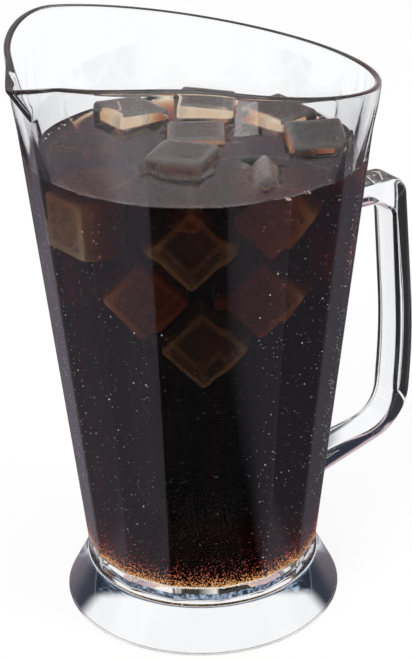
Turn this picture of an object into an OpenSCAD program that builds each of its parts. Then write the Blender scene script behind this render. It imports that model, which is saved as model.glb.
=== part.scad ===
// Clear plastic serving pitcher with flat side panels, a raised pouring lip, a
// flared hollow foot and a D-shaped handle, filled with a dark soft drink and ice.
// Millimetres. +Z is up, the spout points to -X and the handle to +X. The origin
// is on the vessel's axis, on the surface that the foot stands on.

/* [Vessel] */
// Height of the crease that runs round the vessel below the pouring lip
crease_h = 212; // [206:1:226]
// Radius of the crease
crease_r = 67.8; // [67:0.1:72]
// Radius of the vessel's bottom, over the edges between two panels
base_r = 46.2; // [45:0.1:50]
// Number of flat panels round the outside
panel_count = 16; // [12:2:20]
// Drop of the tips of the panel edges below the crease
edge_drop = 6.5; // [4:0.5:12]
// Drop of the lowest point of a panel's scalloped top below the crease
scallop_drop = 22; // [16:0.5:30]
// Wall thickness at the middle of a panel
wall = 2.8; // [2:0.1:3.4]
// Thickness of the vessel's floor
floor_t = 4.5; // [3:0.5:10]
// Rounding between the floor and the wall, inside
floor_round = 4; // [2:0.5:6]

/* [Pouring lip] */
// Height of the rim over the crease at the handle
rim_back = 2; // [1:0.5:5]
// Height of the rim over the crease at its crest
rim_crest = 22; // [18:0.5:28]
// Distance of the crest from the axis, towards the spout
crest_x = 40; // [34:1:46]
// Radius of the rim's curve in side view, from the crest to the spout
rim_curve_r = 76; // [66:1:90]
// Outward lean of the lip above the crease, in degrees
lip_lean = 3.5; // [2:0.5:6]
// Outward lean of the spout's keel, in degrees
spout_lean = 34; // [30:1:40]
// Depth to which the spout's flat sides run into the lip at the crest's height
spout_lap = 0.3; // [0.2:0.1:0.8]
// Wall thickness of the lip
lip_wall = 2.6; // [2:0.1:4]

/* [Foot] */
// Height of the foot
foot_h = 18; // [14:0.5:24]
// Radius of the foot where it stands
foot_r = 56; // [52:0.1:62]
// Width of the ledge outside the vessel's panel edges
ledge = 0.5; // [0.3:0.1:2]
// Wall thickness of the foot's skirt
skirt = 2.6; // [2:0.1:4]
// Thickness of the shelf that carries the vessel
shelf_t = 3; // [2:0.5:5]
// Radius of the opening inside the shelf
shelf_hole_r = 34; // [20:1:38]

/* [Handle] */
// Distance from the axis to the outer face of the grip, at its fullest
reach = 99.5; // [92:0.5:108]
// Height of the grip's fullest point
full_h = 92; // [80:1:110]
// Thickness of the grip
grip_t = 8.5; // [6:0.1:10]
// Height of the upper arm's top face
arm_top = 161; // [150:1:175]
// Thickness of the upper arm
arm_t = 9.5; // [7:0.1:11]
// Set-back of the outer upper corner from the grip's fullest point
top_set = 7; // [4:0.5:10]
// Set-back of the inner upper corner from the outer one
top_t = 6; // [3:0.5:7]
// Height of the lower arm's upper face at the inner corner
low_h = 51.5; // [44:0.5:60]
// Thickness of the lower arm at the outer corner
low_t = 2; // [1:0.5:4]
// Set-back of the outer lower corner from the grip's fullest point
low_set = 2; // [0:0.2:4]
// Slope of the lower arm's upper face, in degrees
low_slope = 9; // [4:1:14]
// Slope of the lower arm's underside, in degrees
low_slope_under = 17; // [15:1:22]
// Width of the handle
handle_w = 15.2; // [11:0.1:18]
// Rounding of the handle's long edges
edge_r = 2; // [1:0.1:2.6]
// Rounding of the upper corner, outside
top_round = 7; // [4:0.5:10]
// Rounding of the upper corner, inside
top_round_in = 9; // [6:0.5:12]
// Radius of the grip's bow
bow = 250; // [200:10:320]
// Rounding of the lower corner, outside
low_round = 23; // [18:0.5:26]
// Rounding of the lower corner, inside
low_round_in = 15; // [11:0.5:18]

/* [Drink and ice] */
// Distance of the drink's surface below the crease
headroom = 22; // [18:0.5:28]
// Play between the drink and the vessel
drink_gap = 0.1; // [0.1:0.1:0.4]
// Edge length of an ice cube
ice_edge = 22.5; // [20:0.5:23]
// Width of the bevel worn along an ice cube's edges
ice_bevel = 2; // [1:0.1:3]
// Play between an ice cube and the drink round it
ice_gap = 0.1; // [0.1:0.1:0.4]
// Space left between two cubes that lie side by side
ice_play = 2; // [1.6:0.1:3]
// Space left between an ice cube and the vessel's wall
ice_wall_gap = 0.8; // [0.6:0.1:1.5]
// Direction that the front of the pile faces, in degrees round the axis
pile_turn = -30; // [-40:5:-20]

/* [Hidden] */
$fn = 96;
// Where each ice cube lies: turn round the axis, distance to the right of the turned
// middle line, depth of its centre below the drink's surface, roll, and distance from
// the axis towards the wall, where 0 stands for a cube that lies against the wall. The
// distances are in cubes with the space between them. The first five rows are the
// cubes that show in front.
ICE = [
    [0, 0.05, 2.45, 45, 0],
    [0, -0.75, 1.75, 45, 0],
    [0, 0.85, 1.8, 45, 0],
    [0, -0.1, 0.8, 45, 0],
    [0, 1, 0.5, 45, 0],
    [-55, 0, 0.7, 0, 0],
    [100, 0, 1.7, 40, 0],
    [-90, 0, 1.9, 20, 0],
    [-105, 0, 0.6, 5, 0],
    [95, 0, 0.3, 10, 0],
    [135, 0, 0.3, 5, 0],
    [175, 0, 0.3, 5, 0],
    [-145, 0, 0.3, 5, 0],
    [150, 0, 1.5, 30, 0],
    [-20, 0, 0.3, 0, 0.65],
    [180, 0, 0.4, 0, 0.6],
];
ice_count = len(ICE);

// A slack that makes cutters stand proud of what they cut
over = 1;
// The panels' outline: its edges widen from base_r by edge_slope, and the flared
// band under the crease narrows downwards by band_slope. The band meets the edges
// at edge_drop below the crease and the panels' middles at scallop_drop below it.
panel_turn = 360 / panel_count;
flat_share = cos(panel_turn / 2);
panel_h = crease_h - foot_h;
drop_ratio = scallop_drop / edge_drop;
edge_slope = (flat_share * base_r - crease_r + drop_ratio * (crease_r - base_r))
    / (drop_ratio * (panel_h - edge_drop) - flat_share * (panel_h - scallop_drop));
band_slope = (crease_r - base_r - edge_slope * (panel_h - edge_drop)) / edge_drop;
panel_lean = atan(flat_share * edge_slope);
band_low = crease_h - 1.5 * scallop_drop;
scallop_h = crease_h - scallop_drop;
floor_h = foot_h + floor_t;
lip_top = crease_h + rim_crest + over;
drink_h = crease_h - headroom;
// The rim in side view: an arc over the spout that runs on as a straight line
rim_centre = [-crest_x, crease_h + rim_crest - rim_curve_r];
rim_end = [crease_r, crease_h + rim_back];
rim_tangent = atan2(rim_end.y - rim_centre.y, rim_end.x - rim_centre.x)
    + acos(rim_curve_r / norm(rim_end - rim_centre));
rim_join = rim_centre + rim_curve_r * [cos(rim_tangent), sin(rim_tangent)];
rim_slope = (rim_end.y - rim_join.y) / (rim_end.x - rim_join.x);
// Half of the angle between the spout's flat sides, level and square to the keel,
// and half of the spout's width where its sides have run into the round lip
spout_half = asin((lip_radius(crease_h + rim_crest) - spout_lap)
    / (crease_r + rim_crest * tan(spout_lean)));
keel_half = atan(tan(spout_half) / cos(spout_lean));
spout_half_w = crease_r * cos(spout_half);
spout_depth = 1.3 * spout_half_w / tan(keel_half);
foot_top_r = base_r + ledge;
ice_pitch = ice_edge + ice_play;
// The play at a cube's seat is the same on every side
pocket_edge = ice_edge + 2 * ice_gap;
// Numbers of steps in the floor's rounding, the handle's roundings and bow, and each
// rounded edge of the handle
floor_steps = 4;
round_steps = 8;
bow_steps = 4;
edge_steps = 4;

// Radius over the panel edges, radius at the middle of a panel, and radius of the
// flared band and lip, each at height z
function edge_radius(z) = base_r + edge_slope * (z - foot_h);
function flat_radius(z) = flat_share * edge_radius(z);
function band_radius(z) = crease_r - band_slope * (crease_h - z);
function lip_radius(z) = crease_r + tan(lip_lean) * (z - crease_h);
// Radius of the inner wall at height z
function bore_radius(z) = z > crease_h ? lip_radius(z) - lip_wall
    : z > scallop_h ? lookup(z, [
        [scallop_h, flat_radius(scallop_h) - wall],
        [crease_h, crease_r - lip_wall]
    ])
    : flat_radius(z) - wall;

// Name of ice cube i, and its place: [right, towards the wall, up] in the turned frame
function ice_name(i) = str("ice_", i < 9 ? "0" : "", i + 1);
function ice_seat(i) =
    let (
        p = ICE[i],
        across = p[1] * ice_pitch,
        half = ice_edge / 2 * (cos(p[3]) + sin(p[3])),
        middle = drink_h - p[2] * ice_pitch,
        room = bore_radius(middle - half) - ice_wall_gap,
        wall_seat = sqrt(room * room - pow(abs(across) + half, 2)) - ice_edge / 2
    )
    [across, p[4] == 0 ? wall_seat : p[4] * ice_pitch, middle];

// Points of the arc of radius r that rounds the corner b between a and c
function corner(a, b, c, r, steps) =
    let (
        to_a = (a - b) / norm(a - b),
        to_c = (c - b) / norm(c - b),
        half = acos(to_a * to_c) / 2,
        centre = b + (to_a + to_c) / norm(to_a + to_c) * r / sin(half),
        start = b + to_a * r / tan(half) - centre,
        from = atan2(start.y, start.x),
        turn = (to_a.x * to_c.y - to_a.y * to_c.x > 0 ? -1 : 1) * (180 - 2 * half)
    )
    [for (i = [0 : steps]) centre + r * [cos(from + turn * i / steps), sin(from + turn * i / steps)]];

// One side of the handle's outline, from the upper root to the lower one
function outline(p, upper_r, lower_r) = concat(
    [p[0]],
    corner(p[0], p[1], p[2], upper_r, round_steps),
    corner(p[1], p[2], p[3], bow, bow_steps),
    corner(p[2], p[3], p[4], lower_r, round_steps),
    [p[4]]
);

// Solid of revolution inside the vessel, shrunk by gap, up to the height top
module bore(gap, top) {
    low = floor_h + gap;
    round_r = floor_round - gap;
    corner_r = bore_radius(low + round_r) - gap;
    rotate_extrude()
        polygon(concat(
            [[0, low]],
            [for (i = [0 : floor_steps]) [
                corner_r - round_r + round_r * sin(i * 90 / floor_steps),
                low + round_r - round_r * cos(i * 90 / floor_steps)
            ]],
            top > scallop_h ? [[bore_radius(scallop_h) - gap, scallop_h]] : [],
            top > crease_h ? [[bore_radius(crease_h) - gap, crease_h]] : [],
            [[bore_radius(top) - gap, top], [0, top]]
        ));
}

// The panelled body as a solid block
module panel_block() {
    top = crease_h - edge_drop / 2;
    difference() {
        translate([0, 0, foot_h])
            cylinder(h = top - foot_h, r = crease_r + 2 * over);
        for (i = [0 : panel_count - 1])
            rotate([0, 0, (i + 0.5) * panel_turn])
                translate([flat_radius(foot_h), 0, foot_h])
                    rotate([0, panel_lean, 0])
                        translate([0, -crease_r / 2, -over])
                            cube([crease_r, crease_r, panel_h + 2 * over]);
    }
}

// The flared band and the lip as a solid of revolution
module band_and_lip() {
    rotate_extrude()
        polygon([
            [0, band_low],
            [band_radius(band_low), band_low],
            [crease_r, crease_h],
            [lip_radius(lip_top), lip_top],
            [0, lip_top]
        ]);
}

// Wedge of the spout with its keel leaning outwards, set inwards by inset. It ends
// sideways inside the lip, where its flat sides have run into the round wall.
module spout_wedge(inset) {
    side = spout_depth * tan(keel_half);
    intersection() {
        translate([-crease_r, 0, crease_h])
            rotate([0, -spout_lean, 0])
                translate([inset / sin(keel_half), 0, -edge_drop])
                    linear_extrude(height = 2.5 * rim_crest)
                        polygon([[0, 0], [spout_depth, -side], [spout_depth, side]]);
        translate([-2 * reach, inset - spout_half_w, foot_h])
            cube([2 * reach, 2 * (spout_half_w - inset), 2 * lip_top]);
    }
}

// Everything above the rim's side view
module above_rim() {
    far = 3 * reach;
    rotate([90, 0, 0])
        linear_extrude(height = far, center = true)
            difference() {
                translate([-far / 2, crease_h - over])
                    square([far, 3 * rim_crest]);
                translate(rim_centre)
                    circle(r = rim_curve_r);
                polygon([
                    rim_join,
                    [far, rim_join.y + rim_slope * (far - rim_join.x)],
                    [far, 0],
                    [rim_join.x, 0]
                ]);
            }
}

module vessel() {
    color([0.86, 0.9, 0.92, 0.35])
        difference() {
            union() {
                panel_block();
                band_and_lip();
                spout_wedge(0);
            }
            bore(0, lip_top + over);
            spout_wedge(lip_wall);
            above_rim();
        }
}

module foot() {
    color([0.8, 0.86, 0.9, 0.35])
        rotate_extrude()
            polygon([
                [foot_r, 0],
                [foot_top_r, foot_h],
                [shelf_hole_r, foot_h],
                [shelf_hole_r, foot_h - shelf_t],
                [foot_top_r - skirt, foot_h - shelf_t],
                [foot_r - skirt, 0]
            ]);
}

// A bar whose section, with rounded edges, runs between an inner and an outer line
module bar(inner, outer, width, r) {
    stations = len(inner);
    ring = 4 * (edge_steps + 1);
    points = [
        for (k = [0 : stations - 1])
            let (
                middle = (inner[k] + outer[k]) / 2,
                half_t = norm(outer[k] - inner[k]) / 2,
                across = (outer[k] - inner[k]) / (2 * half_t)
            )
            for (c = [0 : 3], i = [0 : edge_steps])
                let (
                    a = 90 * c + 90 * i / edge_steps,
                    side = [c == 0 || c == 3 ? 1 : -1, c < 2 ? 1 : -1],
                    t = side.x * (half_t - r) + r * cos(a),
                    w = side.y * (width / 2 - r) + r * sin(a)
                )
                [middle.x + t * across.x, w, middle.y + t * across.y]
    ];
    faces = concat(
        [[for (i = [0 : ring - 1]) i]],
        [for (k = [0 : stations - 2], i = [0 : ring - 1]) [
            k * ring + i,
            (k + 1) * ring + i,
            (k + 1) * ring + (i + 1) % ring,
            k * ring + (i + 1) % ring
        ]],
        [[for (i = [ring - 1 : -1 : 0]) (stations - 1) * ring + i]]
    );
    polyhedron(points = points, faces = faces);
}

module handle() {
    root = base_r;
    top = [reach - top_set, arm_top];
    low = [reach - low_set, low_h - low_t];
    outer = outline([
        [root, top.y],
        top,
        [reach, full_h],
        low,
        [root, low.y - (low.x - root) * tan(low_slope_under)]
    ], top_round, low_round);
    inner_top = [top.x - top_t, arm_top - arm_t];
    inner_low = [low.x - grip_t, low_h];
    inner = outline([
        [root, inner_top.y],
        inner_top,
        [reach - grip_t, full_h],
        inner_low,
        [root, inner_low.y - (inner_low.x - root) * tan(low_slope)]
    ], top_round_in, low_round_in);
    color([0.84, 0.89, 0.92, 0.35])
        difference() {
            bar(inner, outer, handle_w, edge_r);
            panel_block();
        }
}

// A cube with all twelve edges bevelled
module bevelled_cube(edge, bevel) {
    across = sqrt(2) * edge - sqrt(2) * bevel;
    intersection() {
        cube(edge, center = true);
        rotate([45, 0, 0])
            cube([2 * edge, across, across], center = true);
        rotate([0, 45, 0])
            cube([across, 2 * edge, across], center = true);
        rotate([0, 0, 45])
            cube([across, across, 2 * edge], center = true);
    }
}

// The solid of ice cube i, or its pocket in the drink
module ice_place(i, edge) {
    seat = ice_seat(i);
    rotate([0, 0, ICE[i][0] + pile_turn])
        translate([seat.x, -seat.y, seat.z])
            rotate([0, -ICE[i][3], 0])
                bevelled_cube(edge, ice_bevel);
}

module drink() {
    color([0.16, 0.06, 0.04])
        difference() {
            bore(drink_gap, drink_h);
            for (i = [0 : ice_count - 1])
                ice_place(i, pocket_edge);
        }
}

module ice(i) {
    color([0.75, 0.82, 0.86, 0.6])
        ice_place(i, ice_edge);
}

vessel();
foot();
handle();
drink();
for (i = [0 : ice_count - 1])
    ice(i);
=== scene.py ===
"""The looks of a clear plastic pitcher that holds a dark soft drink and ice cubes.

The vessel, foot and handle are modelled again from the CAD model's own driving sizes, with rounded
edges. The drink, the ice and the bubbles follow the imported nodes. Sizes are in millimetres and are
turned into metres where a mesh is made. +Z is up, the spout points to -X and the handle to +X.
"""

import math
import random

import bmesh
import bpy
import numpy as np
from mathutils import Euler, Matrix, Vector, noise


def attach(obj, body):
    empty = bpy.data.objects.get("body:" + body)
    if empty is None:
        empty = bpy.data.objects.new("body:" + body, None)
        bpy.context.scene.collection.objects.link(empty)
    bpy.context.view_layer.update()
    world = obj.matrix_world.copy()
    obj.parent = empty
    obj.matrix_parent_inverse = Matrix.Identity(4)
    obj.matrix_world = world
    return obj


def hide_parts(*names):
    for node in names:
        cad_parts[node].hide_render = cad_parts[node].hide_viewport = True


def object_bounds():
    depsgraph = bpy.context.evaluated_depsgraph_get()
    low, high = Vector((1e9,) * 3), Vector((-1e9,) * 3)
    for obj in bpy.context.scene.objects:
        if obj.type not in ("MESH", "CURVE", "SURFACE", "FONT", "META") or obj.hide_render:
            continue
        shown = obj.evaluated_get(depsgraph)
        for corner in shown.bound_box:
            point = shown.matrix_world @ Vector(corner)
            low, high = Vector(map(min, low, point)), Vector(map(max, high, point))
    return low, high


MM = 0.001
SEED = 7

# The vessel's driving sizes, as in the CAD model
CREASE_H = 212.0
CREASE_R = 67.8
BASE_R = 46.2
PANELS = 16
EDGE_DROP = 6.5
SCALLOP_DROP = 22.0
WALL = 2.8
FLOOR_T = 4.5
FLOOR_ROUND = 4.0
RIM_BACK = 2.0
RIM_CREST = 22.0
CREST_X = 40.0
RIM_CURVE_R = 76.0
LIP_LEAN = math.radians(3.5)
SPOUT_LEAN = math.radians(34)
SPOUT_LAP = 0.3
LIP_WALL = 2.6
FOOT_H = 18.0
FOOT_R = 56.0
LEDGE = 0.5
SKIRT = 2.6
SHELF_T = 3.0
SHELF_HOLE_R = 34.0

# The handle's driving sizes
REACH = 99.5
FULL_H = 92.0
GRIP_T = 8.5
ARM_TOP = 161.0
ARM_T = 9.5
TOP_SET = 7.0
TOP_T = 6.0
LOW_H = 51.5
LOW_T = 2.0
LOW_SET = 2.0
LOW_SLOPE = math.radians(9)
LOW_SLOPE_UNDER = math.radians(17)
HANDLE_W = 15.2
HANDLE_EDGE = 2.0
TOP_ROUND, TOP_ROUND_IN = 7.0, 9.0
BOW = 250.0
LOW_ROUND, LOW_ROUND_IN = 23.0, 15.0

# Drink
DRINK_H = 190.0
MENISCUS = 1.0
DRINK_IOR = 1.333
ICE_IOR = 1.31
PLASTIC_IOR = 1.5
# For faces between two solids of one kind; 1 itself would switch the faces off
JOINED_IOR = 1.0001
# How far a piece reaches into the plastic that it is wet by or moulded to, so that light
# passes from one to the other without a film of air
SINK = 0.03

# Softening of the moulded edges
BASE_EASE = 0.6
PANEL_EDGE = 0.5
SCALLOP_EDGE = 0.6
CREASE_EDGE = 0.8
SPOUT_EDGE = 1.2
RIM_ROUND = 1.15

# The photograph's camera, found from the foot, the panel edges, the crease and the rim
CAMERA_AT = (-326.4, -558.2, 425.0)
CAMERA_AZIMUTH = 59.45
CAMERA_PITCH = 25.67
CAMERA_ROLL = -0.84
FOCAL_PX = 1844.0
PHOTO_H = 658
SENSOR = 36.0

# Points round the vessel
STEPS = 512

# Numbers of bubbles
FIZZ, WALL_BUBBLES, RIM_BUBBLES = 7000, 3400, 70
STRING_AZIMUTHS, STRING_BUBBLES = (168, 311), 90
CUBE_BUBBLES = 70

# Cloudiness of the ice cubes, which is added to the frost of their edges
CLOUDY = {
    "ice_01": -0.4, "ice_02": 0.6, "ice_03": 0.7, "ice_04": -0.35, "ice_05": 1.1, "ice_06": 1.0,
}

# Colours of the studio; on the floor, DARK and GLINT are painted shade and painted glints that
# the plastic shows
WHITE = (1, 1, 1, 1)
DARK = (0.02, 0.028, 0.045, 1)
GLINT = (0.45, 0.6, 0.8, 1)
MAUVE = (0.65, 0.5, 0.53)

# The studio's cards by direction, as (degrees from the far side, level or colour), with the
# photograph's camera at 180 degrees: the floor as the plastic lets it through, far and near,
# the floor as the plastic mirrors it, and the same two for the room. The floor's three tables
# are painted light and shade in the floor's glow, shown only in reflections and through the
# clear parts.
FLOOR_THROUGH = [
    (-180, 1), (-150, 1), (-138, 0.02), (-54, 0.02), (-44, 1), (44, 1), (54, 0.02),
    (115, 0.02), (128, 1), (180, 1),
]
FLOOR_THROUGH_NEAR = [
    (-180, 1), (-150, 1), (-138, 0.02), (-56, 0.02), (-50, 1), (-5, 1), (0, 0.02),
    (115, 0.02), (128, 1), (180, 1),
]
FLOOR_MIRRORED = [
    (-180, 0.02), (-146, 0.02), (-143, 0.42), (-114, 0.42), (-110, 0.2), (-40, 0.2),
    (-30, 0.05), (30, 0.05), (38, 0.28), (100, 0.28), (106, 0.45), (148, 0.45), (152, 0.02),
    (180, 0.02),
]
WORLD_THROUGH = [
    (-180, 1), (-145, 1), (-135, 0.03), (-54, 0.03), (-44, MAUVE), (44, MAUVE), (54, 0.03),
    (115, 0.03), (128, 1), (180, 1),
]
WORLD_MIRRORED = [
    (-180, 0.05), (-126, 0.05), (-122, 0.7), (-104, 0.7), (-100, 0.05), (-54, 0.05), (-44, MAUVE),
    (44, MAUVE), (54, 0.05), (100, 0.05), (104, 0.9), (130, 0.9), (133, 0.05), (180, 0.05),
]
# Tint of the floor's painted side zones that the plastic mirrors
MIRRORED_TINT = (1, 0.92, 1.1, 1)
# A painted reflection: a bright, card-like patch in the floor's glow that only mirrors show:
# direction, distance and half sizes
CARD_AZIMUTH, CARD_AT, CARD_HALF = 268.5, 0.52, (0.045, 0.06)
# How brightly the painted reflection glows, where white is 1
CARD_LEVEL = 4.0
# How much of the floor's brightness, seen from the camera, is light that falls on it
FLOOR_SHADE = 0.15
# Distances from the axis at which the floor's zones change over, in metres
FOOT_ZONE = (0.0555, 0.0575)
SHADE_RING_ZONE = (0.12, 0.1)
NEAR_ZONE = (0.38, 0.42)
FAR_ZONE = (0.7, 0.8)
# Distance to the side at which the painted shade round the foot starts: a dark ring on the
# floor, seen through the plastic
SHADE_RING_SIDES = (0.042, 0.05)
# The floor under the vessel: where its shade starts and stops towards the far side, and where
# its dark ends start to the side, which lean outwards by END_LEAN
SHADE_START, SHADE_STOP = (-0.014, -0.006), (0.018, 0.026)
DARK_ENDS, END_LEAN = (0.034, 0.041), 0.4
# Height, as the sine of the elevation, over which the room is mirrored white or shows dark
MIRRORED_TOP, THROUGH_TOP = (0.38, 0.5), (0.54, 0.66)


# ---------------------------------------------------------------- shapes of the vessel

def soft_max(a, b, k):
    """The larger of a and b, with a fillet where they cross."""
    h = np.clip(0.5 + 0.5 * (a - b) / k, 0, 1)
    return b * (1 - h) + a * h + k * h * (1 - h)


def soft_min(a, b, k):
    return -soft_max(-a, -b, k)


TURN = 2 * math.pi / PANELS
FLAT_SHARE = math.cos(TURN / 2)
PANEL_H = CREASE_H - FOOT_H
DROP_RATIO = SCALLOP_DROP / EDGE_DROP
EDGE_SLOPE = (FLAT_SHARE * BASE_R - CREASE_R + DROP_RATIO * (CREASE_R - BASE_R)) / (
    DROP_RATIO * (PANEL_H - EDGE_DROP) - FLAT_SHARE * (PANEL_H - SCALLOP_DROP)
)
BAND_SLOPE = (CREASE_R - BASE_R - EDGE_SLOPE * (PANEL_H - EDGE_DROP)) / EDGE_DROP
SCALLOP_H = CREASE_H - SCALLOP_DROP
FLOOR_H = FOOT_H + FLOOR_T
LIP_SLOPE = math.tan(LIP_LEAN)
SPOUT_SLOPE = math.tan(SPOUT_LEAN)
SPOUT_HALF = math.asin(
    (CREASE_R + LIP_SLOPE * RIM_CREST - SPOUT_LAP) / (CREASE_R + RIM_CREST * SPOUT_SLOPE)
)
KEEL_HALF = math.atan(math.tan(SPOUT_HALF) / math.cos(SPOUT_LEAN))
FOOT_TOP_R = BASE_R + LEDGE


def edge_radius(z):
    return BASE_R + EDGE_SLOPE * (z - FOOT_H)


def flat_radius(z):
    return FLAT_SHARE * edge_radius(z)


def panel_radius(theta, z):
    """Radius of the 16-sided body, with its upright edges eased."""
    near = np.abs((theta / TURN) % 1 - 0.5) * TURN
    flat = flat_radius(np.minimum(z, CREASE_H - EDGE_DROP / 2))
    return soft_min(flat / np.cos(near), flat / np.cos(TURN - near), PANEL_EDGE)


def spout_radius(theta, z, inset):
    """Radius of the spout's two flat sides, which meet in a keel at -X."""
    phi = np.abs(np.arctan2(np.sin(theta - math.pi), np.cos(theta - math.pi)))
    phi = np.sqrt(phi**2 + (SPOUT_EDGE / CREASE_R) ** 2) - 0.5 * SPOUT_EDGE / CREASE_R
    apex = CREASE_R + (z - CREASE_H) * SPOUT_SLOPE
    apex = apex - inset / math.sin(KEEL_HALF) / math.cos(SPOUT_LEAN)
    inside = np.minimum(phi, math.pi / 2 - SPOUT_HALF)
    fall = CREASE_R * 0.4 * (phi - inside)
    return apex * math.sin(SPOUT_HALF) / np.sin(SPOUT_HALF + inside) - fall


def outer_radius(theta, z):
    band = soft_min(
        CREASE_R - BAND_SLOPE * (CREASE_H - z), CREASE_R + LIP_SLOPE * (z - CREASE_H), CREASE_EDGE
    )
    r = soft_max(panel_radius(theta, z), band, SCALLOP_EDGE)
    return soft_max(r, spout_radius(theta, z, 0), 0.8)


def bore_radius(z):
    """Radius of the round inner wall."""
    low = flat_radius(np.minimum(z, SCALLOP_H)) - WALL
    top = CREASE_R - LIP_WALL
    low_slope = (top - float(flat_radius(SCALLOP_H)) + WALL) / SCALLOP_DROP
    flare = top + low_slope * (z - CREASE_H)
    lip = top + LIP_SLOPE * (z - CREASE_H)
    return np.where(z < SCALLOP_H, low, soft_min(flare, lip, CREASE_EDGE))


def inner_radius(theta, z):
    return soft_max(bore_radius(z), spout_radius(theta, z, LIP_WALL), 1.6)


RIM_CENTRE = (-CREST_X, CREASE_H + RIM_CREST - RIM_CURVE_R)


def rim_join():
    """Where the rim's arc runs on as a straight line, and the line's slope."""
    dx, dz = CREASE_R - RIM_CENTRE[0], CREASE_H + RIM_BACK - RIM_CENTRE[1]
    at = math.atan2(dz, dx) + math.acos(RIM_CURVE_R / math.hypot(dx, dz))
    x = RIM_CENTRE[0] + RIM_CURVE_R * math.cos(at)
    z = RIM_CENTRE[1] + RIM_CURVE_R * math.sin(at)
    return x, z, (CREASE_H + RIM_BACK - z) / (CREASE_R - x)


RIM_JOIN_X, RIM_JOIN_Z, RIM_SLOPE = rim_join()


def rim_height(x):
    arc = RIM_CENTRE[1] + np.sqrt(np.maximum(RIM_CURVE_R**2 - (x - RIM_CENTRE[0]) ** 2, 1))
    line = RIM_JOIN_Z + RIM_SLOPE * (x - RIM_JOIN_X)
    return np.where(x < RIM_JOIN_X, arc, line)


def rim_top(theta):
    """Height of the rim in each direction."""
    z = np.full_like(theta, CREASE_H)
    for _ in range(24):
        z = 0.5 * (z + rim_height(outer_radius(theta, z) * np.cos(theta)))
    return z


# ---------------------------------------------------------------- mesh helpers

def new_object(name, verts, faces, material, smooth=True):
    mesh = bpy.data.meshes.new(name)
    mesh.from_pydata([tuple(v) for v in verts], [], [tuple(f) for f in faces])
    mesh.validate()
    if smooth:
        mesh.shade_smooth()
    obj = bpy.data.objects.new(name, mesh)
    bpy.context.collection.objects.link(obj)
    if material:
        mesh.materials.append(material)
    return obj


def ring_mesh(name, grid, material):
    """A closed mesh over grid[ring, step]; the end rings close on their middles."""
    rings, steps, _ = grid.shape
    row = np.arange(rings - 1)[:, None] * steps
    j = np.arange(steps)[None, :]
    k = (j + 1) % steps
    quads = np.stack([row + j, row + k, row + steps + k, row + steps + j], -1).reshape(-1, 4)
    verts = np.concatenate([grid.reshape(-1, 3), [grid[0].mean(0)], [grid[-1].mean(0)]]) * MM
    first, last = rings * steps, rings * steps + 1
    end = (rings - 1) * steps
    caps = [(first, (i + 1) % steps, i) for i in range(steps)]
    caps += [(end + i, end + (i + 1) % steps, last) for i in range(steps)]
    return new_object(name, verts, quads.tolist() + caps, material)


def turned(profile, steps=256):
    """Rings of points for a profile of [radius, height] rows."""
    theta = np.linspace(0, 2 * math.pi, steps, endpoint=False)
    p = np.asarray(profile, float)
    x = p[:, :1] * np.cos(theta)
    y = p[:, :1] * np.sin(theta)
    z = np.repeat(p[:, 1:], steps, axis=1)
    return np.stack([x, y, z], -1)


def arc(centre, r, start, stop, count):
    """Points of an arc, with its angles in degrees."""
    a = np.radians(np.linspace(start, stop, count))
    return [(centre[0] + r * c, centre[1] + r * s) for c, s in zip(np.cos(a), np.sin(a))]


def eased(a, b, c, r, steps=5):
    """Points of a small curve that eases the corner b between a and c."""
    a, b, c = Vector(a), Vector(b), Vector(c)
    u, v = (a - b).normalized(), (c - b).normalized()
    half = u.angle(v) / 2
    start, stop = b + u * r / math.tan(half), b + v * r / math.tan(half)
    shares = [i / steps for i in range(steps + 1)]
    return [tuple((1 - t) ** 2 * start + 2 * t * (1 - t) * b + t**2 * stop) for t in shares]


# ---------------------------------------------------------------- vessel, foot and handle

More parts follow.
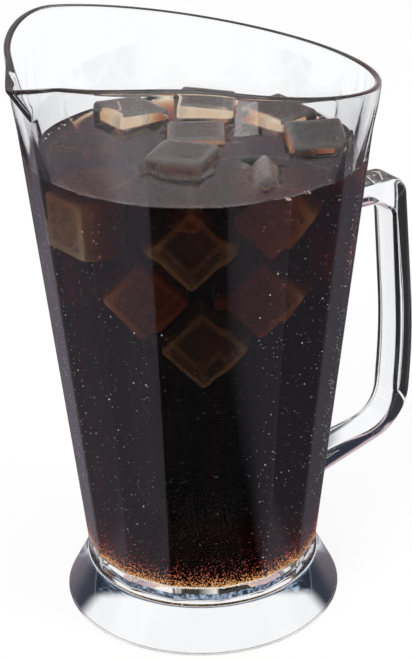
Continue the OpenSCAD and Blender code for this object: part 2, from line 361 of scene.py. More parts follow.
def make_vessel(material, wet, joined):
    """The body with its lip and spout, from the middle of its base over the rim to its floor."""
    theta = np.arange(STEPS) * 2 * math.pi / STEPS
    top = rim_top(theta)
    rings = []

    def ring(r, z):
        z = z + np.zeros_like(theta)
        rings.append(np.stack([r * np.cos(theta), r * np.sin(theta), z], -1))

    joined_r = float(flat_radius(FOOT_H)) - BASE_EASE
    for r in (0.35 * SHELF_HOLE_R, 0.7 * SHELF_HOLE_R, SHELF_HOLE_R, joined_r - 0.05):
        ring(np.full_like(theta, r), FOOT_H)
    for r, z in arc((0, BASE_EASE), BASE_EASE, -90, 0, 5):
        ring(outer_radius(theta, FOOT_H + z) - BASE_EASE + r, FOOT_H + z)
    low = np.arange(FOOT_H + 6, SCALLOP_H - 3, 6)
    fine = np.arange(SCALLOP_H - 2, CREASE_H - 0.3, 0.6)
    for z in np.concatenate([low, fine]):
        ring(outer_radius(theta, z), z)
    shares = np.linspace(0, 1, 20)
    for share in shares:
        z = CREASE_H + share * (top - RIM_ROUND - CREASE_H)
        ring(outer_radius(theta, z), z)
    for at in np.radians(np.linspace(15, 165, 11)):
        z = top - RIM_ROUND + RIM_ROUND * math.sin(at)
        out, inside = outer_radius(theta, z), inner_radius(theta, z)
        ring((out + inside) / 2 + (out - inside) / 2 * math.cos(at), z)
    for share in shares[::-1]:
        z = CREASE_H + share * (top - RIM_ROUND - CREASE_H)
        ring(inner_radius(theta, z), z)
    for z in np.concatenate([np.arange(CREASE_H - 1, SCALLOP_H - 4, -1.25), low[::-1]]):
        if z > FLOOR_H + FLOOR_ROUND:
            ring(inner_radius(theta, z), z)
    flat_r = float(bore_radius(FLOOR_H + FLOOR_ROUND)) - FLOOR_ROUND
    for r, z in arc((flat_r, FLOOR_H + FLOOR_ROUND), FLOOR_ROUND, 0, -90, 10):
        ring(np.full_like(theta, r), z)
    for share in (0.75, 0.5, 0.25):
        ring(np.full_like(theta, share * flat_r), FLOOR_H)
    obj = ring_mesh("vessel_shell", np.array(rings), material)
    obj.data.materials.append(wet)
    obj.data.materials.append(joined)
    for face in obj.data.polygons:
        x, y, z = face.center / MM
        r = math.hypot(x, y)
        if z > FLOOR_H - 0.1 and r < float(bore_radius(z)) + 0.3 and z < DRINK_H:
            face.material_index = 1
        elif z < FOOT_H + 0.01 and SHELF_HOLE_R - 0.1 < r < joined_r:
            face.material_index = 2
    return obj


def make_foot(material, joined):
    """The flared ring, whose shelf reaches a little into the vessel's floor."""
    inner_r = float(flat_radius(FOOT_H)) - BASE_EASE
    corners = [
        (FOOT_R, 0.0, 0.7),
        (FOOT_TOP_R, FOOT_H, 0.5),
        (inner_r, FOOT_H, 0.02),
        (inner_r, FOOT_H + SINK, 0.01),
        (SHELF_HOLE_R, FOOT_H + SINK, 0.01),
        (SHELF_HOLE_R, FOOT_H - SHELF_T, 0.8),
        (FOOT_TOP_R - SKIRT, FOOT_H - SHELF_T, 2.0),
        (FOOT_R - SKIRT, 0.0, 0.7),
    ]
    profile = []
    for i, (x, z, soft) in enumerate(corners):
        profile += eased(corners[i - 1][:2], (x, z), corners[(i + 1) % len(corners)][:2], soft)
    grid = turned(profile, 384)
    rings, steps, _ = grid.shape
    faces = []
    for a in range(rings):
        b = (a + 1) % rings
        for j in range(steps):
            k = (j + 1) % steps
            faces.append((a * steps + j, a * steps + k, b * steps + k, b * steps + j))
    obj = new_object("foot_ring", grid.reshape(-1, 3) * MM, faces, material)
    obj.data.materials.append(joined)
    for face in obj.data.polygons:
        r, z = math.hypot(*face.center[:2]) / MM, face.center.z / MM
        if z > FOOT_H + 0.5 * SINK and r < inner_r:
            face.material_index = 1
    return obj


def corner(a, b, c, r, steps):
    """Points of the arc of radius r that rounds the corner b between a and c."""
    a, b, c = Vector(a), Vector(b), Vector(c)
    u, v = (a - b).normalized(), (c - b).normalized()
    half = u.angle(v) / 2
    centre = b + (u + v).normalized() * r / math.sin(half)
    start = b + u * r / math.tan(half) - centre
    turn = (math.pi - 2 * half) * (-1 if u.x * v.y - u.y * v.x > 0 else 1)
    out = []
    for i in range(steps + 1):
        t = turn * i / steps
        out.append(centre + Matrix.Rotation(t, 2) @ start)
    return out


def handle_side(p, upper_r, lower_r):
    """One side of the handle's outline, from the upper root to the lower one."""
    points = [Vector(p[0]).lerp(Vector(p[1]), t) for t in (0, 0.25, 0.5)]
    points += corner(p[0], p[1], p[2], upper_r, 14)
    points += corner(p[1], p[2], p[3], BOW, 12)
    points += corner(p[2], p[3], p[4], lower_r, 16)
    points += [Vector(p[3]).lerp(Vector(p[4]), t) for t in (0.6, 0.8, 1)]
    return points


def handle_section(half_t, half_w, r, steps=6):
    """Points round a rounded rectangle, as (across the bar, sideways)."""
    out = []
    for c in range(4):
        sx = 1 if c in (0, 3) else -1
        sy = 1 if c < 2 else -1
        for i in range(steps + 1):
            a = math.radians(90 * c + 90 * i / steps)
            out.append((sx * (half_t - r) + r * math.cos(a), sy * (half_w - r) + r * math.sin(a)))
    return out


def make_handle(material, joined):
    """The handle's bar, lofted between its inner and outer outlines."""
    root_top = edge_radius(ARM_TOP - ARM_T / 2) - 1.2
    root_low = edge_radius(LOW_H - 8) - 1.2
    top = (REACH - TOP_SET, ARM_TOP)
    low = (REACH - LOW_SET, LOW_H - LOW_T)
    inner_top = (top[0] - TOP_T, ARM_TOP - ARM_T)
    inner_low = (low[0] - GRIP_T, LOW_H)
    outer = handle_side(
        [
            (root_top, ARM_TOP),
            top,
            (REACH, FULL_H),
            low,
            (root_low, low[1] - (low[0] - root_low) * math.tan(LOW_SLOPE_UNDER)),
        ],
        TOP_ROUND,
        LOW_ROUND,
    )
    inner = handle_side(
        [
            (root_top, inner_top[1]),
            inner_top,
            (REACH - GRIP_T, FULL_H),
            inner_low,
            (root_low, inner_low[1] - (inner_low[0] - root_low) * math.tan(LOW_SLOPE)),
        ],
        TOP_ROUND_IN,
        LOW_ROUND_IN,
    )
    furthest = cad_box[1][0] / MM
    outer = [Vector((min(p.x, furthest), p.y)) for p in outer]
    rings = []
    for a, b in zip(inner, outer):
        middle, half = (a + b) / 2, (b - a).length / 2
        across = (b - a) / (2 * half)
        ring = []
        for t, w in handle_section(half, HANDLE_W / 2, HANDLE_EDGE):
            ring.append((middle.x + t * across.x, w, middle.y + t * across.y))
        rings.append(ring)
    obj = ring_mesh("handle_bar", np.array(rings), material)
    obj.data.flip_normals()
    obj.data.materials.append(joined)
    for face in obj.data.polygons:
        if len(face.vertices) == 3:
            face.material_index = 1
    return obj


# ---------------------------------------------------------------- drink, ice and bubbles

def node_cube(node):
    """Centre, rotation and edge length of a CAD ice cube, in metres."""
    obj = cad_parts[node]
    co = np.array([v.co for v in obj.data.vertices])
    centre = (co.min(0) + co.max(0)) / 2
    best = {}
    for poly in obj.data.polygons:
        key = tuple(np.round(poly.normal, 2))
        best[key] = best.get(key, 0) + poly.area
    axes = []
    for key in sorted(best, key=best.get, reverse=True):
        n = Vector(key).normalized()
        if all(abs(n.dot(a)) < 0.2 for a in axes):
            axes.append(n)
        if len(axes) == 3:
            break
    x, y = axes[0], axes[1]
    z = x.cross(y)
    turn = Matrix((x, y, z)).transposed()
    edge = np.ptp(co @ np.array(x))
    return Vector(centre), turn, edge


def ice_mesh(name, node, material, grow, seed):
    """A worn ice cube: rounded edges and corners, slightly hollow faces, and frosted edges."""
    centre, turn, edge = node_cube(node)
    bm = bmesh.new()
    bmesh.ops.create_cube(bm, size=edge * 0.99)
    bmesh.ops.bevel(
        bm, geom=bm.edges[:], offset=edge * 0.085, segments=4, profile=0.5, affect="EDGES"
    )
    long_edges = [e for e in bm.edges if e.calc_length() > edge * 0.2]
    bmesh.ops.subdivide_edges(bm, edges=long_edges, cuts=9, use_grid_fill=True)
    frost = []
    for v in bm.verts:
        wave = noise.noise_vector(v.co / edge * 1.7 + Vector((seed, 0, 0)))
        sizes = sorted(abs(c) / edge for c in v.co)
        frost.append(min(max((sizes[1] - 0.34) / 0.12, 0), 1) + CLOUDY.get(node, 0))
        v.co = v.co * (1 - 0.012 * (0.5 - sizes[1])) + wave * edge * 0.006
        v.co += v.normal * grow
    mesh = bpy.data.meshes.new(name)
    bm.to_mesh(mesh)
    bm.free()
    layer = mesh.attributes.new("frost", "FLOAT", "POINT")
    layer.data.foreach_set("value", frost)
    mesh.shade_smooth()
    mesh.transform(Matrix.Translation(centre) @ turn.to_4x4())
    if material:
        mesh.materials.append(material)
    obj = bpy.data.objects.new(name, mesh)
    bpy.context.collection.objects.link(obj)
    return obj


def drink_outline():
    """Profile of the drink, from the middle of the floor to the middle of its surface."""
    low = FLOOR_H - SINK
    round_r = FLOOR_ROUND
    corner_r = float(bore_radius(FLOOR_H + FLOOR_ROUND)) + SINK
    points = [(corner_r * t, low) for t in (0.05, 0.3, 0.6)]
    points += arc((corner_r - round_r, low + round_r), round_r, -90, 0, 8)
    for z in np.linspace(FLOOR_H + 12, DRINK_H - 6, 24):
        points.append((float(bore_radius(z)) + SINK, z))
    edge_r = float(bore_radius(DRINK_H)) + SINK
    for depth in (0, 0.25, 0.6, 1.1, 1.8, 2.8, 4.2, 6.5, 10, 16, 28, 42, 54):
        points.append((edge_r - depth, DRINK_H - MENISCUS * (1 - math.exp(-depth / 1.5))))
    return points


def make_drink(material, cutters):
    """The drink, with a pocket for each ice cube; the pockets' faces are marked."""
    obj = ring_mesh("drink_body", turned(drink_outline(), 192), material)
    joined = bmesh.new()
    for cutter in cutters:
        joined.from_mesh(cutter.data)
    for f in joined.faces:
        f.material_index = 1
    mesh = bpy.data.meshes.new("pockets")
    joined.to_mesh(mesh)
    joined.free()
    for _ in range(2):
        mesh.materials.append(material)
    pockets = bpy.data.objects.new("pockets", mesh)
    bpy.context.collection.objects.link(pockets)
    obj.data.materials.append(material)
    cut = obj.modifiers.new("pockets", "BOOLEAN")
    cut.operation = "DIFFERENCE"
    cut.solver = "EXACT"
    cut.object = pockets
    cut.material_mode = "INDEX"
    graph = bpy.context.evaluated_depsgraph_get()
    carved = bpy.data.meshes.new_from_object(obj.evaluated_get(graph))
    obj.modifiers.clear()
    obj.data = carved
    bpy.data.objects.remove(pockets)
    for cutter in cutters:
        bpy.data.objects.remove(cutter)
    marks = np.zeros(len(carved.polygons), np.int32)
    carved.polygons.foreach_get("material_index", marks)
    normals = np.zeros(len(marks) * 3, np.float32)
    carved.polygons.foreach_get("normal", normals)
    hidden = (marks == 1) | (normals[2::3] < 0.15)
    layer = carved.attributes.new("hidden", "FLOAT", "FACE")
    layer.data.foreach_set("value", hidden.astype(np.float32))
    carved.polygons.foreach_set("material_index", np.zeros(len(marks), np.int32))
    while len(carved.materials) > 1:
        carved.materials.pop(index=len(carved.materials) - 1)
    return obj


def make_bubbles(name, places, material, detail=1):
    """One mesh of many small spheres; places has (x, y, z, radius) rows in millimetres."""
    bm = bmesh.new()
    bmesh.ops.create_icosphere(bm, subdivisions=detail, radius=1)
    base = np.array([v.co for v in bm.verts])
    tris = np.array([[v.index for v in f.verts] for f in bm.faces])
    bm.free()
    verts, faces = [], []
    for n, (x, y, z, r) in enumerate(places):
        verts.append(base * r + (x, y, z))
        faces.append(tris + n * len(base))
    return new_object(name, np.concatenate(verts) * MM, np.concatenate(faces).tolist(), material)


def wall_at(z):
    """Radius of the inner wall, with the rounding at the floor."""
    rise = FLOOR_H + FLOOR_ROUND - z
    if rise <= 0:
        return float(bore_radius(z))
    flat_r = float(bore_radius(FLOOR_H + FLOOR_ROUND)) - FLOOR_ROUND
    return flat_r + math.sqrt(max(FLOOR_ROUND**2 - rise**2, 0))


def fizz(rng):
    """Fine bubbles on the floor and low on the wall."""
    places = []
    for _ in range(FIZZ):
        a = rng.uniform(0, 2 * math.pi)
        r = rng.uniform(0.12, 0.28)
        if rng.random() < 0.35:
            out = wall_at(FLOOR_H + 0.5) - rng.expovariate(1 / 6.0)
            z = FLOOR_H + r
        else:
            z = FLOOR_H + 0.3 + rng.expovariate(1 / 5.5)
            out = wall_at(z) - r - rng.expovariate(1 / 0.8)
        if out > 10:
            places.append((out * math.cos(a), out * math.sin(a), z, r))
    return places


def wall_bubbles(rng):
    """Bubbles that cling to the wall, thickest at the panel edges and rare in front."""
    places = []
    front = math.radians(CAMERA_AZIMUTH - 180)
    for _ in range(WALL_BUBBLES):
        z = rng.uniform(FLOOR_H + 8, DRINK_H - 4)
        if rng.random() < 0.3:
            a = round(rng.uniform(0, PANELS)) * TURN + rng.gauss(0, 0.03)
        else:
            a = rng.uniform(0, 2 * math.pi)
        off = abs(math.atan2(math.sin(a - front), math.cos(a - front)))
        if off < math.radians(20) and rng.random() < 0.93:
            continue
        r = rng.uniform(0.07, 0.2) if rng.random() < 0.92 else rng.uniform(0.2, 0.4)
        out = wall_at(z) - r * 0.9
        places.append((out * math.cos(a), out * math.sin(a), z, r))
    return places


def bubble_strings(rng):
    """Larger bubbles in loose strings on two upright lines of the wall."""
    places = []
    for azimuth in STRING_AZIMUTHS:
        for _ in range(STRING_BUBBLES):
            z = rng.uniform(FLOOR_H + 25, DRINK_H - 12)
            a = math.radians(azimuth + rng.gauss(0, 2.2))
            r = rng.uniform(0.15, 0.42)
            out = wall_at(z) - r * 0.9
            places.append((out * math.cos(a), out * math.sin(a), z, r))
    return places


def rim_bubbles(rng):
    """A few bubbles where the surface meets the wall."""
    places = []
    for _ in range(RIM_BUBBLES):
        a = rng.uniform(-math.pi / 2, 0.8 * math.pi)
        r = rng.uniform(0.2, 0.6)
        out = wall_at(DRINK_H - 1) - r - abs(rng.gauss(0, 1.6))
        places.append((out * math.cos(a), out * math.sin(a), DRINK_H - 0.8 - 0.3 * r, r))
    return places


def ice_bubbles(rng):
    """Fine bubbles on the sides of the ice cubes."""
    places = []
    for node in ice_nodes:
        centre, turn, edge = node_cube(node)
        for _ in range(CUBE_BUBBLES):
            side = rng.randrange(6)
            spot = [rng.uniform(-0.42, 0.42) for _ in range(3)]
            spot[side // 2] = 0.5 if side % 2 else -0.5
            spot = centre + turn @ Vector(spot) * edge
            if spot.z < (DRINK_H - 3) * MM:
                places.append((*(spot / MM), rng.uniform(0.08, 0.2)))
    return places


# ---------------------------------------------------------------- materials

def new_material(name):
    mat = bpy.data.materials.new(name)
    mat.use_nodes = True
    tree = mat.node_tree
    shader = tree.nodes["Principled BSDF"]
    return mat, tree, shader


def link_noise(tree, scale, detail=2.0, roughness=0.5):
    coords = tree.nodes.new("ShaderNodeTexCoord")
    tex = tree.nodes.new("ShaderNodeTexNoise")
    tex.inputs["Scale"].default_value = scale
    tex.inputs["Detail"].default_value = detail
    tex.inputs["Roughness"].default_value = roughness
    tree.links.new(coords.outputs["Object"], tex.inputs["Vector"])
    return tex


def add_bump(tree, shader, tex, strength, distance):
    bump = tree.nodes.new("ShaderNodeBump")
    bump.inputs["Strength"].default_value = strength
    bump.inputs["Distance"].default_value = distance
    tree.links.new(tex.outputs["Fac"], bump.inputs["Height"])
    tree.links.new(bump.outputs["Normal"], shader.inputs["Normal"])


def math_node(tree, operation, *values):
    """The result of a Math node on numbers and sockets."""
    node = tree.nodes.new("ShaderNodeMath")
    node.operation = operation
    for i, value in enumerate(values):
        if isinstance(value, (int, float)):
            node.inputs[i].default_value = value
        else:
            tree.links.new(value, node.inputs[i])
    return node.outputs[0]


def mix_colour(tree, factor, a, b, blend="MIX"):
    """Colour a where factor is 0 and b where it is 1; without a factor, b in full."""
    node = tree.nodes.new("ShaderNodeMix")
    node.data_type = "RGBA"
    node.blend_type = blend
    if factor is None:
        node.inputs["Factor"].default_value = 1
    else:
        tree.links.new(factor, node.inputs["Factor"])
    for name, value in (("A", a), ("B", b)):
        if isinstance(value, tuple):
            node.inputs[name].default_value = value
        else:
            tree.links.new(value, node.inputs[name])
    return node.outputs["Result"]


def smooth_step(tree, value, low, high):
    """0 at low and 1 at high, with a smooth change between them."""
    node = tree.nodes.new("ShaderNodeMapRange")
    node.interpolation_type = "SMOOTHSTEP"
    node.inputs["From Min"].default_value = low
    node.inputs["From Max"].default_value = high
    tree.links.new(value, node.inputs["Value"])
    return node.outputs["Result"]


def height_node(tree):
    """The height of each point, in metres."""
    place = tree.nodes.new("ShaderNodeNewGeometry")
    split = tree.nodes.new("ShaderNodeSeparateXYZ")
    tree.links.new(place.outputs["Position"], split.inputs["Vector"])
    return split.outputs["Z"]


def map_range(tree, value, low, high):
    """A value from 0 to 1, mapped to low to high."""
    node = tree.nodes.new("ShaderNodeMapRange")
    node.inputs["To Min"].default_value = low
    node.inputs["To Max"].default_value = high
    tree.links.new(value, node.inputs["Value"])
    return node.outputs["Result"]


def turned_axes(tree, coords, azimuth):
    """Coordinates along and across a level direction, and upwards."""
    turn = tree.nodes.new("ShaderNodeVectorRotate")
    turn.rotation_type = "Z_AXIS"
    turn.inputs["Angle"].default_value = -math.radians(azimuth)
    tree.links.new(coords, turn.inputs["Vector"])
    split = tree.nodes.new("ShaderNodeSeparateXYZ")
    tree.links.new(turn.outputs["Vector"], split.inputs["Vector"])
    return split.outputs["X"], split.outputs["Y"], split.outputs["Z"]


def clear_plastic(name, ior):
    mat, tree, shader = new_material(name)
    shader.inputs["Base Color"].default_value = (0.985, 0.99, 1, 1)
    shader.inputs["Transmission Weight"].default_value = 1
    shader.inputs["Roughness"].default_value = 0.0
    shader.inputs["IOR"].default_value = ior
    tex = link_noise(tree, 45, 1.0)
    add_bump(tree, shader, tex, 0.2, 0.0002)
    return mat


def drink_material():
    """A clear liquid that takes up light; its hidden faces, against solids, bend no light."""
    mat, tree, shader = new_material("drink")
    shader.inputs["Base Color"].default_value = (1, 1, 1, 1)
    shader.inputs["Transmission Weight"].default_value = 1
    shader.inputs["Roughness"].default_value = 0
    mark = tree.nodes.new("ShaderNodeAttribute")
    mark.attribute_name = "hidden"
    ior = map_range(tree, mark.outputs["Fac"], DRINK_IOR, JOINED_IOR)
    tree.links.new(ior, shader.inputs["IOR"])
    absorb = tree.nodes.new("ShaderNodeVolumeAbsorption")
    absorb.inputs["Color"].default_value = (0.78, 0.53, 0.22, 1)
    absorb.inputs["Density"].default_value = 300
    tree.links.new(absorb.outputs["Volume"], tree.nodes["Material Output"].inputs["Volume"])
    return mat


def ice_material():
    """Clear ice with a cloudy frost, which is thicker along the edges."""
    mat, tree, shader = new_material("ice")
    nodes, links = tree.nodes, tree.links
    shader.inputs["Base Color"].default_value = (0.9, 0.86, 0.8, 1)
    tex = link_noise(tree, 420, 2.0, 0.5)
    mark = nodes.new("ShaderNodeAttribute")
    mark.attribute_name = "frost"
    spots = smooth_step(tree, tex.outputs["Fac"], 0.45, 0.75)
    share = math_node(tree, "MULTIPLY_ADD", tex.outputs["Fac"], 0.3, 0.4)
    cloud = math_node(tree, "MULTIPLY", mark.outputs["Fac"], share)
    cloud = math_node(tree, "MULTIPLY_ADD", spots, 0.1, cloud)
    surface = (DRINK_H - MENISCUS) * MM
    above = smooth_step(tree, height_node(tree), surface - 0.1 * MM, surface + 0.1 * MM)
    melted = math_node(tree, "MULTIPLY_ADD", above, -0.75, 1)
    cloud = math_node(tree, "MULTIPLY", cloud, melted)
    links.new(map_range(tree, cloud, 0.02, 0.45), shader.inputs["Roughness"])
    links.new(map_range(tree, cloud, 0.97, 0.3), shader.inputs["Transmission Weight"])
    links.new(map_range(tree, above, 1.02, ICE_IOR), shader.inputs["IOR"])
    add_bump(tree, shader, tex, 0.08, 0.0004)
    return mat


def painted_glow_bubble_material():
    mat, tree, shader = new_material("bubble")
    shader.inputs["Base Color"].default_value = (0.9, 0.88, 0.88, 1)
    # The emission is a painted glow, in place of the light that real bubbles catch
    shader.inputs["Emission Color"].default_value = (0.9, 0.85, 0.88, 1)
    shader.inputs["Emission Strength"].default_value = 0.18
    shader.inputs["Transmission Weight"].default_value = 0.5
    shader.inputs["Roughness"].default_value = 0.1
    shader.inputs["IOR"].default_value = 1.33
    tex = link_noise(tree, 400)
    add_bump(tree, shader, tex, 0.1, 0.0001)
    return mat


def painted_glow_fizz_material():
    """Bubbles with a painted glow, golden at the floor and red higher up, as real ones shine
    through more of the drink.
    """
    mat, tree, shader = new_material("golden_bubble_painted_glow")
    rise = tree.nodes.new("ShaderNodeMapRange")
    rise.inputs["From Min"].default_value = FLOOR_H * MM
    rise.inputs["From Max"].default_value = (FLOOR_H + 18) * MM
    tree.links.new(height_node(tree), rise.inputs["Value"])
    ramp = tree.nodes.new("ShaderNodeValToRGB")
    stops = ramp.color_ramp.elements
    stops[0].color = (1, 0.72, 0.36, 1)
    stops[1].color = (0.03, 0.02, 0.02, 1)
    stops.new(0.22).color = (0.9, 0.48, 0.22, 1)
    stops.new(0.45).color = (0.5, 0.12, 0.08, 1)
    stops.new(0.75).color = (0.16, 0.03, 0.03, 1)
    tree.links.new(rise.outputs["Result"], ramp.inputs["Fac"])
    tree.links.new(ramp.outputs["Color"], shader.inputs["Base Color"])
    # The ramp's colour is also the painted glow
    tree.links.new(ramp.outputs["Color"], shader.inputs["Emission Color"])
    shader.inputs["Emission Strength"].default_value = 0.7
    shader.inputs["Roughness"].default_value = 0.25
    return mat


def azimuth_bands(tree, vector, bands):
    """Colour by direction round the axis, from one of the tables of cards, and the height."""
    along, across, up = turned_axes(tree, vector, CAMERA_AZIMUTH)
    around = math_node(tree, "ARCTAN2", across, along)
    share = tree.nodes.new("ShaderNodeMapRange")
    share.inputs["From Min"].default_value = -math.pi
    share.inputs["From Max"].default_value = math.pi
    tree.links.new(around, share.inputs["Value"])
    ramp = tree.nodes.new("ShaderNodeValToRGB")
    stops = ramp.color_ramp.elements
    stops.remove(stops[-1])
    for i, (degrees, level) in enumerate(bands):
        stop = stops[0] if i == 0 else stops.new((degrees + 180) / 360)
        stop.position = (degrees + 180) / 360
        stop.color = (*level, 1) if isinstance(level, tuple) else (level, level, level, 1)
    tree.links.new(share.outputs["Result"], ramp.inputs["Fac"])
    return ramp.outputs["Color"], up


def under_foot(tree, coords):
    """The floor under the vessel, which the dark drink keeps in shade, broken up by glints."""
    along, across, _ = turned_axes(tree, coords, CAMERA_AZIMUTH)
    # The shade and the glints are painted in the floor's glow, seen only through the plastic
    shade = smooth_step(tree, along, *SHADE_START)
    glints = link_noise(tree, 200, 3.0, 0.7)
    glint = smooth_step(tree, glints.outputs["Fac"], 0.44, 0.68)
    colour = mix_colour(tree, glint, DARK, GLINT)
    colour = mix_colour(tree, shade, WHITE, colour)
    colour = mix_colour(tree, smooth_step(tree, along, *SHADE_STOP), colour, WHITE)
    aside = math_node(tree, "ABSOLUTE", across)
    from_middle = math_node(tree, "ABSOLUTE", along)
    ends = math_node(tree, "MULTIPLY_ADD", from_middle, -END_LEAN, aside)
    return mix_colour(tree, smooth_step(tree, ends, *DARK_ENDS), colour, DARK)


def painted_reflection_mask(tree, coords):
    """1 on the bright patch of painted reflection, 0 elsewhere."""
    along, across, _ = turned_axes(tree, coords, CARD_AZIMUTH)
    off = math_node(tree, "ABSOLUTE", math_node(tree, "SUBTRACT", along, CARD_AT))
    aside = math_node(tree, "ABSOLUTE", across)
    return math_node(
        tree,
        "MULTIPLY",
        smooth_step(tree, off, CARD_HALF[0] + 0.002, CARD_HALF[0]),
        smooth_step(tree, aside, CARD_HALF[1] + 0.003, CARD_HALF[1]),
    )


def floor_material():
    """A pale floor that glows white where the camera sees it and keeps the object's soft shadow.

    In reflections and through the clear parts it glows with painted light and shade instead:
    light and dark zones, painted shade under and round the foot with painted glints in it, and
    a bright patch of painted reflection.
    """
    mat, tree, shader = new_material("pale_floor")
    nodes, links = tree.nodes, tree.links
    tex = link_noise(tree, 3)
    links.new(map_range(tree, tex.outputs["Fac"], 0.9, 0.92), shader.inputs["Base Color"])
    shader.inputs["Roughness"].default_value = 0.9
    shader.inputs["Specular IOR Level"].default_value = 0
    coords = nodes.new("ShaderNodeTexCoord").outputs["Object"]
    through, _ = azimuth_bands(tree, coords, FLOOR_THROUGH)
    through_near, _ = azimuth_bands(tree, coords, FLOOR_THROUGH_NEAR)
    mirrored, _ = azimuth_bands(tree, coords, FLOOR_MIRRORED)
    far = nodes.new("ShaderNodeVectorMath")
    far.operation = "LENGTH"
    links.new(coords, far.inputs[0])
    distance = far.outputs["Value"]
    through = mix_colour(tree, smooth_step(tree, distance, *NEAR_ZONE), through_near, through)
    # Painted shade: a dark ring on the floor round the foot, at its sides, seen through the plastic
    _, across, _ = turned_axes(tree, coords, CAMERA_AZIMUTH)
    sideways = smooth_step(tree, math_node(tree, "ABSOLUTE", across), *SHADE_RING_SIDES)
    ring = math_node(tree, "MULTIPLY", sideways, smooth_step(tree, distance, *SHADE_RING_ZONE))
    through = mix_colour(tree, ring, through, DARK)
    distant = smooth_step(tree, distance, *FAR_ZONE)
    through = mix_colour(tree, distant, through, WHITE)
    outside = smooth_step(tree, distance, *FOOT_ZONE)
    through = mix_colour(tree, outside, under_foot(tree, coords), through)
    mirrored = mix_colour(tree, None, mirrored, MIRRORED_TINT, "MULTIPLY")
    # The painted reflection: a bright patch in what the plastic mirrors
    card = (CARD_LEVEL, CARD_LEVEL, CARD_LEVEL, 1)
    mirrored = mix_colour(tree, painted_reflection_mask(tree, coords), mirrored, card)
    mirrored = mix_colour(tree, distant, mirrored, WHITE)
    paths = nodes.new("ShaderNodeLightPath")
    colour = mix_colour(tree, paths.outputs["Is Transmission Ray"], mirrored, through)
    colour = mix_colour(tree, paths.outputs["Is Camera Ray"], colour, WHITE)
    glow = nodes.new("ShaderNodeEmission")
    links.new(colour, glow.inputs["Color"])
    camera, glossy = paths.outputs["Is Camera Ray"], paths.outputs["Is Glossy Ray"]
    seen = math_node(tree, "MAXIMUM", camera, glossy)
    seen = math_node(tree, "MAXIMUM", seen, paths.outputs["Is Transmission Ray"])
    keep = math_node(tree, "MULTIPLY", camera, FLOOR_SHADE)
    share = math_node(tree, "SUBTRACT", seen, keep)
    pick = nodes.new("ShaderNodeMixShader")
    links.new(share, pick.inputs["Fac"])
    links.new(shader.outputs["BSDF"], pick.inputs[1])
    links.new(glow.outputs["Emission"], pick.inputs[2])
    links.new(pick.outputs["Shader"], nodes["Material Output"].inputs["Surface"])
    return mat


# ---------------------------------------------------------------- studio and camera

def make_floor(material):
    size = 6000
    verts = [(-size, -size, 0), (size, -size, 0), (size, size, 0), (-size, size, 0)]
    obj = new_object("floor", np.array(verts) * MM, [(0, 1, 2, 3)], material, smooth=False)


def make_world():
    """White for the camera; for everything else a room with light and dark cards."""
    world = bpy.data.worlds.new("studio")
    bpy.context.scene.world = world
    world.use_nodes = True
    tree = world.node_tree
    nodes, links = tree.nodes, tree.links
    back = nodes["Background"]
    coords = nodes.new("ShaderNodeTexCoord")
    mirrored, up = azimuth_bands(tree, coords.outputs["Generated"], WORLD_MIRRORED)
    through, _ = azimuth_bands(tree, coords.outputs["Generated"], WORLD_THROUGH)
    mirrored = mix_colour(tree, smooth_step(tree, up, *MIRRORED_TOP), mirrored, WHITE)
    through = mix_colour(tree, smooth_step(tree, up, *THROUGH_TOP), through, DARK)
    paths = nodes.new("ShaderNodeLightPath")
    colour = mix_colour(tree, paths.outputs["Is Transmission Ray"], mirrored, through)
    colour = mix_colour(tree, paths.outputs["Is Camera Ray"], colour, WHITE)
    links.new(colour, back.inputs["Color"])
    back.inputs["Strength"].default_value = 1


def make_lamp(name, at, target, size, power):
    data = bpy.data.lights.new(name, "AREA")
    data.shape = "RECTANGLE"
    data.size, data.size_y = size[0] * MM, size[1] * MM
    data.energy = power
    lamp = bpy.data.objects.new(name, data)
    bpy.context.collection.objects.link(lamp)
    lamp.location = Vector(at) * MM
    lamp.rotation_euler = (Vector(target) - Vector(at)).to_track_quat("-Z", "Y").to_euler()
    lamp.visible_camera = False
    lamp.visible_glossy = lamp.visible_transmission = False
    return lamp


def make_camera():
    data = bpy.data.cameras.new("camera")
    data.sensor_width = SENSOR
    data.lens = FOCAL_PX / PHOTO_H * SENSOR
    data.clip_start, data.clip_end = 0.01, 50
    camera = bpy.data.objects.new("camera", data)
    bpy.context.collection.objects.link(camera)
    camera.location = Vector(CAMERA_AT) * MM
    az, down, roll = (math.radians(v) for v in (CAMERA_AZIMUTH, CAMERA_PITCH, CAMERA_ROLL))
    aim = Vector(
        (math.cos(az) * math.cos(down), math.sin(az) * math.cos(down), -math.sin(down))
    )
    camera.rotation_mode = "QUATERNION"
    upright = aim.to_track_quat("-Z", "Y")
    camera.rotation_quaternion = upright @ Euler((0, 0, roll)).to_quaternion()
    bpy.context.scene.camera = camera


# ---------------------------------------------------------------- the scene

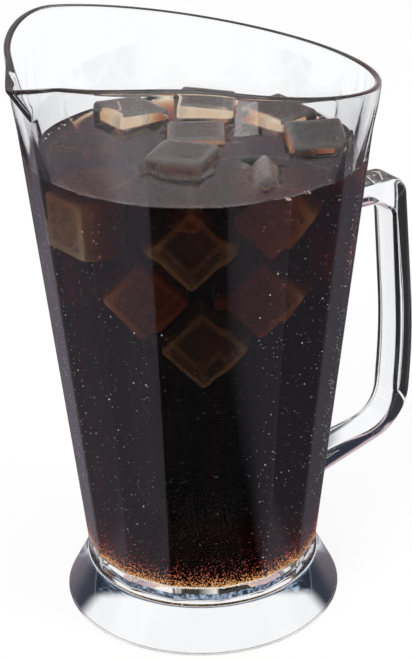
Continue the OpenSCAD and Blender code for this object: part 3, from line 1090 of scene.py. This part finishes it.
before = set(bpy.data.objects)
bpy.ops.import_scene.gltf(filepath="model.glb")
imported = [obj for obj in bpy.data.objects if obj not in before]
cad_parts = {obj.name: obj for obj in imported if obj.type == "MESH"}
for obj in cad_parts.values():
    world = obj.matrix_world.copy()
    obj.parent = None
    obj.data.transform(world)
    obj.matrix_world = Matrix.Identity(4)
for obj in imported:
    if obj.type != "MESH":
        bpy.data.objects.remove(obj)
cad_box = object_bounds()
make_camera()
rng = random.Random(SEED)

plastic = clear_plastic("clear_plastic", PLASTIC_IOR)
wet_plastic = clear_plastic("wet_plastic", PLASTIC_IOR / DRINK_IOR)
joined_plastic = clear_plastic("joined_plastic", JOINED_IOR)
soft_drink = drink_material()
ice = ice_material()
bubble = painted_glow_bubble_material()
golden = painted_glow_fizz_material()

vessel = make_vessel(plastic, wet_plastic, joined_plastic)
foot = make_foot(plastic, joined_plastic)
handle = make_handle(plastic, joined_plastic)
for piece, node in ((vessel, "vessel"), (foot, "foot"), (handle, "handle")):
    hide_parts(node)
    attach(piece, "root")

ice_nodes = sorted(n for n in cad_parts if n.startswith("ice_"))
cutters = []
for i, node in enumerate(ice_nodes):
    cube = ice_mesh(node + "_worn", node, ice, 0, i * 3.7)
    cutters.append(ice_mesh("cutter", node, None, 0.00005, i * 3.7))
    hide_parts(node)
    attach(cube, "root")

drink = make_drink(soft_drink, cutters)
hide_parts("drink")
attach(drink, "root")

for name, places, finish in (
    ("fizz", fizz(rng), golden),
    ("wall_bubbles", wall_bubbles(rng), bubble),
    ("bubble_strings", bubble_strings(rng), bubble),
    ("rim_bubbles", rim_bubbles(rng), bubble),
    ("ice_bubbles", ice_bubbles(rng), bubble),
):
    bubbles = make_bubbles(name, places, finish)
    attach(bubbles, "root")

make_floor(floor_material())
make_world()
make_lamp("key", (-900, -500, 900), (0, 0, 100), (500, 700), 9)
make_lamp("fill", (700, -900, 700), (0, 0, 100), (500, 700), 6)

scene = bpy.context.scene
scene.view_settings.view_transform = "Standard"
scene.cycles.max_bounces = 32
scene.cycles.transmission_bounces = 32
scene.cycles.glossy_bounces = 16
scene.cycles.transparent_max_bounces = 16
